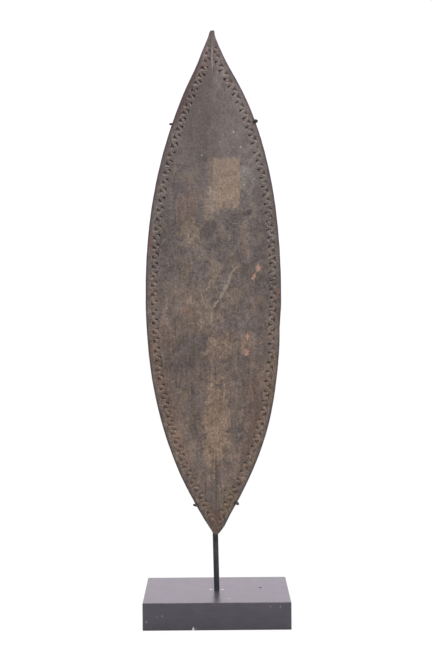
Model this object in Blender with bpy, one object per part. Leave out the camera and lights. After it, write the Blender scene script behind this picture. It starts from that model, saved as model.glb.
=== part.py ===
"""A long, leaf-shaped wooden shield with a chip-carved border, held on its stand.

The shield hangs upright in the hooks of two bent wires, in front of a round rod
that rises from a black block. Metres, +Z up, the carved face looks towards -Y.
The origin is the centre of the block's underside, on the surface it stands on.
"""

import math

import bmesh
import bpy
import numpy as np
from mathutils import Vector

# Stand: block and rod
BASE_WIDTH = 0.2864
BASE_DEPTH = 0.160
BASE_HEIGHT = 0.053
BASE_ARRIS = 0.0016
ROD_DIAMETER = 0.011
ROD_SHOWING = 0.1147
ROD_BOW = 0.0055
ROD_PIECES = 14
ROD_ROUNDNESS = 6
ROD_SOCKET = 0.020
ROD_ABOVE_ARM = 0.012
SOCKET_SIDES = 24
GAP = 0.0003

# Chip knocked out of the block's lower front edge
CHIP_X = -0.0457
CHIP_WIDTH = 0.0050
CHIP_HEIGHT = 0.0056
CHIP_DEPTH = 0.0040
CHIP_TIP_ASIDE = 0.0006
CHIP_OUTSIDE = 0.0010

# Bent wires that hold the shield
WIRE_DIAMETER = 0.0044
WIRE_ROUNDNESS = 3
WIRE_BEND = 0.0032
WIRE_BEND_STEPS = 4
HOOK_CLEAR = 0.0012

# Hooks on the left (-1) and the right (1): how far down the shield the arm ends, how
# much lower the bend is, how much lower still the tip is, and how far the tip overlaps
UPPER_HOOKS = {-1: (0.1832, 0.0025, 0.0000, 0.0020), 1: (0.1803, -0.0006, -0.0008, 0.0052)}
LOWER_HOOKS = {-1: (0.9431, -0.0036, 0.0026, 0.0060), 1: (0.9392, 0.0000, -0.0044, 0.0072)}
UPPER_ARM_DOWN = 0.1816

# Shield outline. "Down" values are fractions of the length, from the top tip.
SHIELD_LENGTH = 1.000
SHIELD_HALF_WIDTH = 0.1337
WIDEST_DOWN = 0.536
TOP_FULLNESS = 2.458
TOP_TAPER = 1.096
FOOT_FULLNESS = 2.237
FOOT_TAPER = 0.900
TIP_HALF_WIDTH = 0.0052
TIP_ROUNDING = 0.0055
TIP_LEAST = 0.25
NECK_HOLLOW = 0.0020
NECK_DOWN = 0.070
NECK_SPREAD = 0.025

# The hewn outline is not quite straight or even
LEAN_OVER_LENGTH = 0.0031
LEAN_PIVOT_DOWN = 0.455
LEFT_BULGE = 0.0032
LEFT_BULGE_DOWN = 0.530
LEFT_BULGE_SPREAD = 0.130
TIP_SWAY = 0.0036
TIP_SWAY_DOWN = 0.035
TIP_SWAY_SPREAD = 0.045

# Swells and dents of the left edge (-1) and the right (1): outward, down, spread
EDGE_SWELLS = {
    -1: ((-0.0011, 0.066, 0.025), (-0.0007, 0.610, 0.030), (-0.0013, 0.935, 0.030)),
    1: (
        (0.0008, 0.500, 0.400),
        (0.0013, 0.190, 0.055),
        (0.0016, 0.515, 0.060),
        (-0.0017, 0.588, 0.020),
        (0.0025, 0.800, 0.060),
        (0.0034, 0.985, 0.012),
    ),
}

# Shield section: a board thinner at the rim, with a gently crowned face
EDGE_THICKNESS = 0.0090
CROWN = 0.0080
CROWN_POWER = 2.4
CROWN_TAPER = 0.9
BACK_CHAMFER = 0.0025
WALL_LOW = 0.0035
WALL_HIGH = 0.0062
WALL_LEAN = 0.0004
FRONT_BEVEL = 0.0030
KEEL_HEIGHT = 0.0010
KEEL_HALF_WIDTH = 0.0030
KEEL_END_DOWN = 0.083

# Carved border: two rows of triangular chips that leave a zigzag ridge. Values given
# by side are for the left (-1) and the right (1), which were cut with another lean.
RIM_BAND = {-1: 0.0109, 1: 0.0098}
NOTCH_BAND = {-1: 0.0135, 1: 0.0138}
BAND_FULL_HALF_WIDTH = 0.0275
CHIPS_PER_SIDE = 55
FIRST_CHIP_DOWN = {-1: 0.0219, 1: 0.0230}
LAST_CHIP_DOWN = {-1: 0.9711, 1: 0.9747}
OUTER_CHIP_DEPTH = 0.0040
INNER_CHIP_DEPTH = 0.0038

# How the spacing drifts from even steps: the strengths of four sines
SPACING_DRIFT = {
    -1: (-0.0360, -0.0794, -0.0187, -0.0317),
    1: (-0.0263, 0.0020, 0.0302, -0.0450),
}

# Chip corners as (along the pitch, across the notched band from its outer line)
OUTER_START = {-1: 0.10, 1: 0.12}
OUTER_END = {-1: 0.80, 1: 0.92}
OUTER_APEX = {-1: (0.64, 0.84), 1: (0.54, 0.84)}
OUTER_DEEP = {-1: (0.50, 0.20), 1: (0.62, 0.16)}
INNER_START = {-1: 0.92, 1: 0.86}
INNER_END = {-1: 1.46, 1: 1.40}
INNER_APEX = {-1: (0.98, 0.20), 1: (1.00, 0.12)}
INNER_DEEP = {-1: (1.14, 0.84), 1: (1.10, 0.84)}

# How finely the face is cut into flats. Tip rows are distances in from each tip.
FIELD_COLUMNS = 6
TIP_ROWS = (0.0, 0.0018, 0.0055, 0.0105, 0.0165)

# Places worked out from the sizes above
ROD_RADIUS = ROD_DIAMETER / 2
WIRE_RADIUS = WIRE_DIAMETER / 2
ARM_Y = -(ROD_RADIUS + GAP + WIRE_RADIUS)
BACK_Y = ARM_Y - WIRE_RADIUS - GAP
SHIELD_FOOT_Z = BASE_HEIGHT + ROD_SHOWING
SHIELD_TOP_Z = SHIELD_FOOT_Z + SHIELD_LENGTH


def clear_scene():
    """Remove whatever the scene holds."""
    for thing in list(bpy.data.objects):
        bpy.data.objects.remove(thing, do_unlink=True)


def material(name, colour, roughness, metallic=0.0):
    """A plain Principled material."""
    made = bpy.data.materials.new(name)
    made.use_nodes = True
    shader = made.node_tree.nodes["Principled BSDF"]
    shader.inputs["Base Color"].default_value = (*colour, 1.0)
    shader.inputs["Roughness"].default_value = roughness
    shader.inputs["Metallic"].default_value = metallic
    return made


def mesh_object(name, mesh_data, finish, sharp_degrees=35.0):
    """Put a finished bmesh into the scene under its own name and material."""
    mesh = bpy.data.meshes.new(name)
    mesh_data.to_mesh(mesh)
    mesh_data.free()
    mesh.materials.append(finish)
    mesh.shade_smooth()
    mesh.set_sharp_from_angle(angle=math.radians(sharp_degrees))
    made = bpy.data.objects.new(name, mesh)
    bpy.context.scene.collection.objects.link(made)
    return made


def bump(value, centre, spread):
    """A bell curve of height 1 at its centre."""
    return np.exp(-0.5 * ((value - centre) / spread) ** 2)


def half_width(down):
    """Half the shield's width, a fraction `down` of the way from the top tip.

    Each taper is (1 - r^fullness)^taper, where r runs from 0 at the widest place
    to 1 at the tip. The blunt tips keep a small width of their own.
    """
    down = np.asarray(down, dtype=float)
    above = np.clip((WIDEST_DOWN - down) / WIDEST_DOWN, 0.0, 1.0)
    below = np.clip((down - WIDEST_DOWN) / (1.0 - WIDEST_DOWN), 0.0, 1.0)
    top = (1.0 - above ** TOP_FULLNESS) ** TOP_TAPER
    foot = (1.0 - below ** FOOT_FULLNESS) ** FOOT_TAPER
    leaf = SHIELD_HALF_WIDTH * top * foot
    leaf = leaf - NECK_HOLLOW * bump(down, NECK_DOWN, NECK_SPREAD)
    return np.hypot(np.maximum(leaf, 0.0), TIP_HALF_WIDTH)


def centre_x(down):
    """Where the middle of the hewn outline lies, left of plumb being negative."""
    lean = LEAN_OVER_LENGTH * (down - LEAN_PIVOT_DOWN)
    bulge = LEFT_BULGE * bump(down, LEFT_BULGE_DOWN, LEFT_BULGE_SPREAD)
    sway = TIP_SWAY * bump(down, TIP_SWAY_DOWN, TIP_SWAY_SPREAD)
    return -(lean + bulge + sway)


def side_x(down, side):
    """The outline's x on one side: side is -1 for the left and +1 for the right."""
    width = half_width(down)
    for outward, place, spread in EDGE_SWELLS[side]:
        width = width + outward * bump(down, place, spread)
    return centre_x(down) + side * width


def height_z(down):
    """Height above the surface that the block stands on."""
    return SHIELD_TOP_Z - down * SHIELD_LENGTH


def face_height(x, down):
    """How far the face stands in front of the flat back."""
    width = half_width(down)
    from_middle = x - centre_x(down)
    across = np.clip(np.abs(from_middle) / width, 0.0, 1.0)
    swell = CROWN * (width / SHIELD_HALF_WIDTH) ** CROWN_TAPER
    keel_fade = 1.0 if down < KEEL_END_DOWN else 0.0
    keel = KEEL_HEIGHT * keel_fade * bump(from_middle, 0.0, KEEL_HALF_WIDTH)
    return EDGE_THICKNESS + swell * (1.0 - across ** CROWN_POWER) + keel


def chip_stations(side):
    """Fractions down the shield where each chip's pitch starts, with the end of the last.

    The chips are stepped off by eye along the curved edge: even steps, plus the sum
    of drift * sin(m pi part) / (m pi), where m counts the drifts from 1.
    """
    fine = np.linspace(0.0, 1.0, 4001)
    step = np.hypot(np.diff(half_width(fine)), np.diff(fine) * SHIELD_LENGTH)
    run = np.concatenate(([0.0], np.cumsum(step)))
    first = np.interp(FIRST_CHIP_DOWN[side], fine, run)
    last = np.interp(LAST_CHIP_DOWN[side], fine, run)
    part = np.linspace(0.0, 1.0, CHIPS_PER_SIDE + 1)
    place = first + (last - first) * part
    for waves, drift in enumerate(SPACING_DRIFT[side], 1):
        place = place + drift * np.sin(waves * math.pi * part) / (waves * math.pi)
    return np.interp(place, run, fine)


def rows_down(stations, start, end):
    """Rows of one long line: the plain tips, and two corners for every chip."""
    tip = [distance / SHIELD_LENGTH for distance in TIP_ROWS]
    rows = list(tip)
    for here, after in zip(stations, stations[1:]):
        rows += [here + (after - here) * start, here + (after - here) * end]
    return rows + [1.0 - part for part in reversed(tip)]


def edge_slope(down, side):
    """How fast the outline widens for each metre down."""
    step = 0.0005
    return side * (side_x(down + step, side) - side_x(down - step, side)) / (2.0 * step * SHIELD_LENGTH)


def point_on_face(down, inset, side, depth=0.0):
    """A point `inset` in from the edge, square to the edge, `depth` into the face.

    Where the tips are too narrow for the whole border, it shrinks to fit.
    """
    fit = min(1.0, float(half_width(down)) / BAND_FULL_HALF_WIDTH)
    turn = math.atan(edge_slope(down, side)) * fit
    x = float(side_x(down, side)) - side * inset * fit * math.cos(turn)
    z = float(height_z(down)) - inset * fit * math.sin(turn)
    down_here = min(max((SHIELD_TOP_Z - z) / SHIELD_LENGTH, 0.0), 1.0)
    y = BACK_Y - float(face_height(x, down_here)) + depth * fit
    return Vector((x, y, z))


def tip_squeeze(down, side):
    """How much of the width is left within the rounding of a tip.

    The top tip is rounded on the left only, which leaves a small nib on the right.
    """
    nib = down < 0.5 and side > 0
    from_end = min(down, 1.0 - down) * SHIELD_LENGTH
    if nib or from_end >= TIP_ROUNDING:
        return 1.0
    arc = math.sqrt(1.0 - (1.0 - from_end / TIP_ROUNDING) ** 2)
    return TIP_LEAST + (1.0 - TIP_LEAST) * arc


def wall_points(down, side):
    """Back edge, two points up the side wall and the front arris at one row."""
    levels = ((BACK_CHAMFER, 0.0), (0.0, WALL_LOW), (WALL_LEAN, WALL_HIGH))
    points = []
    for inset, rise in levels:
        point = point_on_face(down, inset, side)
        point.y = BACK_Y - rise
        points.append(point)
    points.append(point_on_face(down, FRONT_BEVEL, side))
    return points


def build_side(mesh_data, side):
    """All points of one side, and the faces of its wall, rim and carved band."""
    stations = chip_stations(side)
    outer_line = RIM_BAND[side]
    inner_line = outer_line + NOTCH_BAND[side]

    def add(point, down):
        axis = float(centre_x(down))
        x = axis + (point.x - axis) * tip_squeeze(down, side)
        return mesh_data.verts.new((x, point.y, point.z))

    def chip_point(index, places, depth=0.0):
        along, across = places[side]
        down = stations[index] + (stations[index + 1] - stations[index]) * along
        inset = outer_line + NOTCH_BAND[side] * across
        return mesh_data.verts.new(point_on_face(down, inset, side, depth))

    outer_rows = rows_down(stations, OUTER_START[side], OUTER_END[side])
    inner_rows = rows_down(stations, INNER_START[side], INNER_END[side])
    walls = [[add(point, down) for point in wall_points(down, side)] for down in outer_rows]
    outer = [add(point_on_face(down, outer_line, side), down) for down in outer_rows]
    inner = [add(point_on_face(down, inner_line, side), down) for down in inner_rows]

    for row in range(len(outer_rows) - 1):
        here = walls[row] + [outer[row]]
        below = walls[row + 1] + [outer[row + 1]]
        for step in range(len(here) - 1):
            mesh_data.faces.new((here[step], here[step + 1], below[step + 1], below[step]))

    carve_band(mesh_data, outer, inner, chip_point)
    return walls, outer, inner


def carve_band(mesh_data, outer, inner, chip_point):
    """The zigzag of chips between the outer and the inner line of one side.

    Each chip is a triangle with one deep point. The outer row's triangles stand on
    the outer line, the inner row's on the inner line, and what is left between
    them is the ridge.
    """
    face = mesh_data.faces.new
    tips = len(TIP_ROWS)
    for row in range(tips - 1):
        face((outer[row], inner[row], inner[row + 1], outer[row + 1]))
        end = len(outer) - 1 - row
        face((outer[end], inner[end], inner[end - 1], outer[end - 1]))

    above_outer = outer[tips - 1]
    above_inner = inner[tips - 1]
    above_apex = None
    for index in range(CHIPS_PER_SIDE):
        start, end = outer[tips + 2 * index:tips + 2 * index + 2]
        foot, heel = inner[tips + 2 * index:tips + 2 * index + 2]
        outer_apex = chip_point(index, OUTER_APEX)
        inner_apex = chip_point(index, INNER_APEX)
        outer_deep = chip_point(index, OUTER_DEEP, OUTER_CHIP_DEPTH)
        inner_deep = chip_point(index, INNER_DEEP, INNER_CHIP_DEPTH)
        chips = (((start, end, outer_apex), outer_deep), ((foot, heel, inner_apex), inner_deep))
        for ring, deep in chips:
            for corner in range(3):
                face((ring[corner], ring[(corner + 1) % 3], deep))
        face((end, inner_apex, foot))
        face((end, foot, outer_apex))
        if above_apex is None:
            face((above_outer, start, outer_apex))
            face((above_outer, outer_apex, above_inner))
        else:
            face((above_outer, start, above_apex))
            face((above_apex, start, outer_apex))
            face((above_apex, outer_apex, above_inner))
        face((above_inner, outer_apex, foot))
        above_outer, above_inner, above_apex = end, heel, inner_apex

    below_outer = outer[tips + 2 * CHIPS_PER_SIDE]
    below_inner = inner[tips + 2 * CHIPS_PER_SIDE]
    face((above_outer, below_outer, above_apex))
    face((above_apex, below_outer, below_inner))
    face((above_apex, below_inner, above_inner))


def field_rows(mesh_data, left_inner, right_inner):
    """The crowned middle of the face, from one inner line across to the other."""
    rows = []
    for left, right in zip(left_inner, right_inner):
        row = [left]
        for column in range(1, FIELD_COLUMNS):
            spot = left.co.lerp(right.co, column / FIELD_COLUMNS)
            spot.y = BACK_Y - float(face_height(spot.x, (SHIELD_TOP_Z - spot.z) / SHIELD_LENGTH))
            row.append(mesh_data.verts.new(spot))
        row.append(right)
        rows.append(row)
    return rows


def build_shield(finish):
    """The board with its crowned field, flat back and two carved borders."""
    mesh_data = bmesh.new()
    left_walls, left_outer, left_inner = build_side(mesh_data, -1)
    right_walls, right_outer, right_inner = build_side(mesh_data, 1)
    field = field_rows(mesh_data, left_inner, right_inner)

    for here, below in zip(field, field[1:]):
        for column in range(FIELD_COLUMNS):
            mesh_data.faces.new((here[column], here[column + 1], below[column + 1], below[column]))
    left_back = [wall[0] for wall in left_walls]
    right_back = [wall[0] for wall in right_walls]
    for row in range(len(left_back) - 1):
        mesh_data.faces.new((left_back[row], right_back[row], right_back[row + 1], left_back[row + 1]))
    for row in (0, -1):
        loop = left_walls[row] + [left_outer[row]] + field[row] + [right_outer[row]]
        mesh_data.faces.new(loop + right_walls[row][::-1])

    bmesh.ops.triangulate(mesh_data, faces=mesh_data.faces[:])
    bmesh.ops.recalc_face_normals(mesh_data, faces=mesh_data.faces[:])
    return mesh_object("shield", mesh_data, finish, sharp_degrees=24.0)


def cutter(name, mesh_data):
    """A guide solid that only cuts: it is not part of the object."""
    made = mesh_object(name, mesh_data, None)
    made.hide_render = True
    made.display_type = "WIRE"
    return made


def cut(target, tool):
    """Take the tool's space out of the target."""
    step = target.modifiers.new("cut_" + tool.name, "BOOLEAN")
    step.operation = "DIFFERENCE"
    step.solver = "EXACT"
    step.object = tool


def build_base(finish):
    """The block: eased arrises, a blind socket for the rod and one small chip."""
    mesh_data = bmesh.new()
    bmesh.ops.create_cube(mesh_data, size=1.0)
    bmesh.ops.scale(mesh_data, vec=(BASE_WIDTH, BASE_DEPTH, BASE_HEIGHT), verts=mesh_data.verts[:])
    bmesh.ops.translate(mesh_data, vec=(0.0, 0.0, BASE_HEIGHT / 2), verts=mesh_data.verts[:])
    bmesh.ops.bevel(
        mesh_data, geom=mesh_data.edges[:], offset=BASE_ARRIS, segments=2, profile=0.5, affect="EDGES"
    )
    block = mesh_object("base_block", mesh_data, finish)

    socket = bmesh.new()
    socket_depth = ROD_SOCKET + GAP
    bmesh.ops.create_cone(
        socket, cap_ends=True, segments=SOCKET_SIDES, depth=2 * socket_depth,
        radius1=ROD_RADIUS + GAP, radius2=ROD_RADIUS + GAP,
    )
    bmesh.ops.translate(socket, vec=(0.0, 0.0, BASE_HEIGHT), verts=socket.verts[:])
    cut(block, cutter("socket_guide", socket))

    chip = bmesh.new()
    front = -BASE_DEPTH / 2 - CHIP_OUTSIDE
    under = -CHIP_OUTSIDE
    corners = [
        chip.verts.new((CHIP_X - CHIP_WIDTH / 2, front, under)),
        chip.verts.new((CHIP_X + CHIP_WIDTH / 2, front, under)),
        chip.verts.new((CHIP_X + CHIP_TIP_ASIDE, front, CHIP_HEIGHT)),
        chip.verts.new((CHIP_X - CHIP_TIP_ASIDE, CHIP_DEPTH - BASE_DEPTH / 2, under)),
    ]
    for skip in range(4):
        chip.faces.new([corner for place, corner in enumerate(corners) if place != skip])
    bmesh.ops.recalc_face_normals(chip, faces=chip.faces[:])
    cut(block, cutter("chip_guide", chip))
    return block


def tube(name, points, radius, finish, roundness):
    """A round bar along a chain of points, with flat ends."""
    line = bpy.data.curves.new(name, "CURVE")
    line.dimensions = "3D"
    line.bevel_depth = radius
    line.bevel_resolution = roundness
    line.use_fill_caps = True
    spline = line.splines.new("POLY")
    spline.points.add(len(points) - 1)
    for target, point in zip(spline.points, points):
        target.co = (*point, 1.0)
    line.materials.append(finish)
    made = bpy.data.objects.new(name, line)
    bpy.context.scene.collection.objects.link(made)
    return made


def rod_x(z):
    """The rod bows a little to the left between its socket and the upper arm."""
    length = height_z(UPPER_ARM_DOWN) - BASE_HEIGHT
    return -ROD_BOW * math.sin(math.pi * (z - BASE_HEIGHT) / length)


def build_rod(finish):
    """The upright: straight in its socket, then slightly bowed."""
    top = height_z(UPPER_ARM_DOWN) + ROD_ABOVE_ARM
    points = [Vector((0.0, 0.0, BASE_HEIGHT - ROD_SOCKET))]
    for index in range(ROD_PIECES + 1):
        z = BASE_HEIGHT + (top - BASE_HEIGHT) * index / ROD_PIECES
        points.append(Vector((rod_x(z), 0.0, z)))
    return tube("stand_rod", points, ROD_RADIUS, finish, ROD_ROUNDNESS)


def rounded_path(corners, radius, steps):
    """A chain of straight runs whose inner corners are arcs."""
    path = [corners[0]]
    for before, corner, after in zip(corners, corners[1:], corners[2:]):
        back = (before - corner).normalized()
        ahead = (after - corner).normalized()
        half_angle = back.angle(ahead) / 2
        trim = radius / math.tan(half_angle)
        centre = corner + (back + ahead).normalized() * radius / math.sin(half_angle)
        start = corner + back * trim - centre
        end = corner + ahead * trim - centre
        sweep = start.angle(end)
        for step in range(steps + 1):
            part = step / steps
            blend = start * math.sin((1 - part) * sweep) + end * math.sin(part * sweep)
            path.append(centre + blend / math.sin(sweep))
    path.append(corners[-1])
    return path


def hook_corners(hook, side):
    """From behind the board, round its edge, to the tip on the face."""
    down, bend_drop, tip_drop, overlap = hook
    at_bend = down + bend_drop / SHIELD_LENGTH
    at_tip = at_bend + tip_drop / SHIELD_LENGTH
    lean = math.atan(edge_slope(down, side))
    clear = (WIRE_RADIUS + GAP) / math.cos(lean)
    front_y = point_on_face(at_bend, FRONT_BEVEL, side).y - HOOK_CLEAR - WIRE_RADIUS
    return [
        Vector((float(side_x(down, side)) + side * clear, ARM_Y, height_z(down))),
        Vector((float(side_x(at_bend, side)) + side * clear, front_y, height_z(at_bend))),
        Vector((float(side_x(at_tip, side)) - side * overlap, front_y, height_z(at_tip))),
    ]


def build_bracket(name, hooks, finish):
    """One bent wire: an arm behind the board with a hook round each edge."""
    left = hook_corners(hooks[-1], -1)
    right = hook_corners(hooks[1], 1)
    path = rounded_path(list(reversed(left)) + right, WIRE_BEND, WIRE_BEND_STEPS)
    return tube(name, path, WIRE_RADIUS, finish, WIRE_ROUNDNESS)


def build_all():
    clear_scene()
    wood = material("shield_wood", (0.155, 0.130, 0.118), 0.62)
    block_paint = material("block_paint", (0.075, 0.072, 0.082), 0.38)
    rod_paint = material("rod_paint", (0.030, 0.029, 0.033), 0.35)
    wire_paint = material("wire_paint", (0.035, 0.034, 0.036), 0.45)
    build_base(block_paint)
    build_rod(rod_paint)
    build_shield(wood)
    build_bracket("upper_bracket", UPPER_HOOKS, wire_paint)
    build_bracket("lower_bracket", LOWER_HOOKS, wire_paint)


build_all()
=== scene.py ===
"""Looks of the long wooden shield: finely carved wood, painted stand and soft light.

Everything is in metres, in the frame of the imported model: +Z up, the carved face
towards -Y, and the origin in the middle of the block's underside.
"""

import functools
import math
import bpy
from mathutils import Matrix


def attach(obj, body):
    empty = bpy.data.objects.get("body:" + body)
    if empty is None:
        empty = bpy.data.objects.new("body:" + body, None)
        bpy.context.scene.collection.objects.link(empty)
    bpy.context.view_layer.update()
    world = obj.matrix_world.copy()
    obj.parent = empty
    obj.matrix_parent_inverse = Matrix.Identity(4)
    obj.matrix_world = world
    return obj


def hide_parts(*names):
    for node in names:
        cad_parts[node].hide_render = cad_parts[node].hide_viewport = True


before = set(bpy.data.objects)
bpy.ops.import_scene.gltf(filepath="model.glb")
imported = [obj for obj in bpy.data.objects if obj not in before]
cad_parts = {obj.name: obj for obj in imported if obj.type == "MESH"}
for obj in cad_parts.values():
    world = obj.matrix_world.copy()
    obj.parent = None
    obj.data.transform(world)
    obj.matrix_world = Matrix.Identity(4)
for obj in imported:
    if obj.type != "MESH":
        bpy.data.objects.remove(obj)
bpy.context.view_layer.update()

from types import SimpleNamespace

import bpy
import numpy as np
from mathutils import Matrix, Vector

# The picture: 432 x 648 pixels, level eye, the frame slid down to take in the block
PICTURE_HEIGHT = 648
FOCAL_PIXELS = 954.0
EYE = (0.0, -1.911, 0.6717)
ROLL_DEGREES = 0.45
SLIDE_RIGHT = 1.6 / PICTURE_HEIGHT
SLIDE_UP = -43.4 / PICTURE_HEIGHT

# Stand, the same named sizes as the solid
BASE_WIDTH, BASE_DEPTH, BASE_HEIGHT = 0.2864, 0.160, 0.053
ROD_RADIUS = 0.0055
ROD_SHOWING = 0.1147
ROD_BOW = 0.0055
ROD_SOCKET = 0.020
ROD_ABOVE_ARM = 0.012
GAP = 0.0003
CHIP_X = -0.0457
WIRE_RADIUS = 0.0022
WIRE_BEND = 0.0032
HOOK_CLEAR = 0.0012

# Hooks on the left (-1) and the right (1): how far down the shield the arm ends, how
# much lower the bend is, how much lower still the tip is, and how far the tip overlaps
UPPER_HOOKS = {-1: (0.1832, 0.0025, 0.0000, 0.0020), 1: (0.1803, -0.0006, -0.0008, 0.0052)}
LOWER_HOOKS = {-1: (0.9431, -0.0036, 0.0026, 0.0060), 1: (0.9392, 0.0000, -0.0044, 0.0072)}
UPPER_ARM_DOWN = 0.1816

# Shield outline, "down" being the fraction of the length from the top tip
SHIELD_LENGTH = 1.000
SHIELD_HALF_WIDTH = 0.1337
WIDEST_DOWN = 0.536
TOP_FULLNESS, TOP_TAPER = 2.458, 1.096
FOOT_FULLNESS, FOOT_TAPER = 2.237, 0.900
TIP_HALF_WIDTH, TIP_ROUNDING, TIP_LEAST = 0.0052, 0.0055, 0.25
NECK_HOLLOW, NECK_DOWN, NECK_SPREAD = 0.0020, 0.070, 0.025
LEAN_OVER_LENGTH, LEAN_PIVOT_DOWN = 0.0031, 0.455
LEFT_BULGE, LEFT_BULGE_DOWN, LEFT_BULGE_SPREAD = 0.0032, 0.530, 0.130
TIP_SWAY, TIP_SWAY_DOWN, TIP_SWAY_SPREAD = 0.0036, 0.035, 0.045

# Swells and dents of the left edge (-1) and the right (1): outward, down, spread
EDGE_SWELLS = {
    -1: ((-0.0011, 0.066, 0.025), (-0.0007, 0.610, 0.030), (-0.0013, 0.935, 0.030)),
    1: (
        (0.0008, 0.500, 0.400),
        (0.0013, 0.190, 0.055),
        (0.0016, 0.515, 0.060),
        (-0.0017, 0.588, 0.020),
        (0.0025, 0.800, 0.060),
        (0.0034, 0.985, 0.012),
    ),
}

# Shield section
EDGE_THICKNESS = 0.0090
CROWN, CROWN_POWER, CROWN_TAPER = 0.0080, 2.4, 0.9
BACK_CHAMFER = 0.0025
FRONT_BEVEL = 0.0030
KEEL_HEIGHT, KEEL_SPREAD = 0.0010, 0.0018
KEEL_FADES_DOWN = (0.071, 0.087)
ARM_Y = -(ROD_RADIUS + GAP + WIRE_RADIUS)
BACK_Y = ARM_Y - WIRE_RADIUS - GAP
SHIELD_TOP_Z = BASE_HEIGHT + ROD_SHOWING + SHIELD_LENGTH

# Carved border. The spacing drifts from even steps by four sines a side, and the
# chips of the left side (-1) lean otherwise than those of the right (1). Corners are
# (along the pitch, across the notched band from its outer line).
RIM_BAND = {-1: 0.0109, 1: 0.0098}
NOTCH_BAND = {-1: 0.0135, 1: 0.0138}
BAND_FULL_HALF_WIDTH = 0.0275
CHIPS_PER_SIDE = 55
FIRST_CHIP_DOWN, LAST_CHIP_DOWN = {-1: 0.0219, 1: 0.0230}, {-1: 0.9711, 1: 0.9747}
SPACING_DRIFT = {-1: (-0.0360, -0.0794, -0.0187, -0.0317), 1: (-0.0263, 0.0020, 0.0302, -0.0450)}
OUTER_CHIP_DEPTH, INNER_CHIP_DEPTH = 0.0040, 0.0038
OUTER_CHIP = {-1: ((0.10, 0.0), (0.80, 0.0), (0.64, 0.84)), 1: ((0.12, 0.0), (0.92, 0.0), (0.54, 0.84))}
OUTER_DEEP = {-1: (0.50, 0.20), 1: (0.62, 0.16)}
INNER_CHIP = {-1: ((0.92, 1.0), (1.46, 1.0), (0.98, 0.20)), 1: ((0.86, 1.0), (1.40, 1.0), (1.00, 0.12))}
INNER_DEEP = {-1: (1.14, 0.84), 1: (1.10, 0.84)}

# The knife's unevenness: how far a corner strays, in pitches, as a rule and at most,
# and how deep a chip is beside its full depth. The left border is worn down more.
KNIFE_WANDER, MOST_WANDER = 0.042, 0.085
CUT_STRENGTH = (0.80, 1.10)
CARVING_SEED = {-1: 11, 1: 12}
BORDER_WEAR = {-1: 0.36, 1: 0.16}
WEAR_SETS_IN_DOWN = (0.60, 0.90)
ARRIS_SOFTNESS, WORN_SOFTNESS = 0.03, 0.25
WALL_SHARPNESS = 12.0

# Where chips may lie, across the band and along the pitches, what makes a wall face
# down, and how far into a notch the crest and the walls' painted shade and light go,
# as shares of its depth
BAND_BEGINS, BAND_ENDS = (-0.16, -0.02), (1.02, 1.16)
ROW_BEGINS, ROW_ENDS = (-0.5, -0.3), (CHIPS_PER_SIDE + 0.7, CHIPS_PER_SIDE + 0.5)
FACING_DOWN = (-0.12, 0.14)
CREST_AT, CREST_SPREAD, WALL_LIGHT_AND_SHADE_BEGIN = -0.02, 0.13, (0.0, 0.22)

# What the mesh tells the wood about its carving, each from 0 to 1, among them a
# painted shade on the chips' walls that face down and a painted highlight on those
# that face up
CARVING_MARKS = ("depth", "crest", "grime", "ledge", "edge", "rim", "shade")

# How much painted shade the outer chips get beside the inner ones, and how much
# darker than the field the whole border is, above and below the middle
OUTER_CHIP_SHADE = {-1: 0.85, 1: 0.50}
BORDER_SHADE = {-1: (0.05, 0.05), 1: (0.00, 0.07)}
SHADE_CHANGES_DOWN, SHADE_FADES_OVER = (0.30, 0.50), 0.002

# Insets between which the dark edge, painted shade on the outward bevel, fades, and
# the plain rim begins and ends
EDGE_FADES, RIM_BEGINS, RIM_ENDS = (0.0022, 0.0058), (0.0030, 0.0060), (0.0090, 0.0120)

# How finely the shield is meshed: rows down from a tip, then even steps, and in each
# row the wall's points (inset, rise), the rim's insets, and shares across the border,
# bunched towards its two lines, of half the field from its edge, and of the back
TIP_ROWS = np.array((0.0, 0.0003, 0.0008, 0.0014, 0.0022, 0.0031, 0.0041, 0.0055))
EVEN_ROWS_FROM, ROW_STEP = 0.0063, 0.00112
WALL = np.array((
    (BACK_CHAMFER, 0.0), (0.0012, 0.0007), (0.0004, 0.0019), (0.0, 0.0036),
    (0.0001, 0.0050), (0.0004, 0.0062), (0.0011, 0.0073), (0.0020, 0.0085),
))
RIM_INSETS = (0.0031, 0.0038, 0.0052, 0.0070, 0.0087)
BORDER_SHARES, BUNCHING = np.concatenate((np.linspace(0.0, 1.0, 20), (1.07, 1.17))), 0.035
HALF_FIELD_SHARES = np.array((0.0, 0.010, 0.024, 0.044, 0.075, 0.13, 0.21, 0.32, 0.46, 0.62, 0.80))
BACK_SHARES = np.linspace(1.0, 0.0, 11)[1:-1]

# Unevenness of the surfaces: its height, and the cell size and seed of each cloud
FACE_WAVE, WIDE_CLOUD, SHORT_CLOUD = 0.00035, (0.055, 31), (0.019, 32)
RIM_WAVE, RIM_CLOUD = 0.00030, {-1: (0.016, 20), 1: (0.016, 22)}
BACK_HOLLOWS, HOLLOW_CLOUD = 0.0007, (0.022, 41)

# Bar ends: a low dome, drawn with circles at these angles from its middle
DOME_TURNS = (8, 30, 52, 72, 90)
DOME_HEIGHT = 0.6


def bump(value, centre, spread):
    """A bell curve of height 1 at its centre."""
    return np.exp(-0.5 * ((value - centre) / spread) ** 2)


def ease(value, start, end):
    """0 before start, 1 after end, and 3t^2 - 2t^3 between them."""
    part = np.clip((value - start) / (end - start), 0.0, 1.0)
    return part * part * (3.0 - 2.0 * part)


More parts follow.
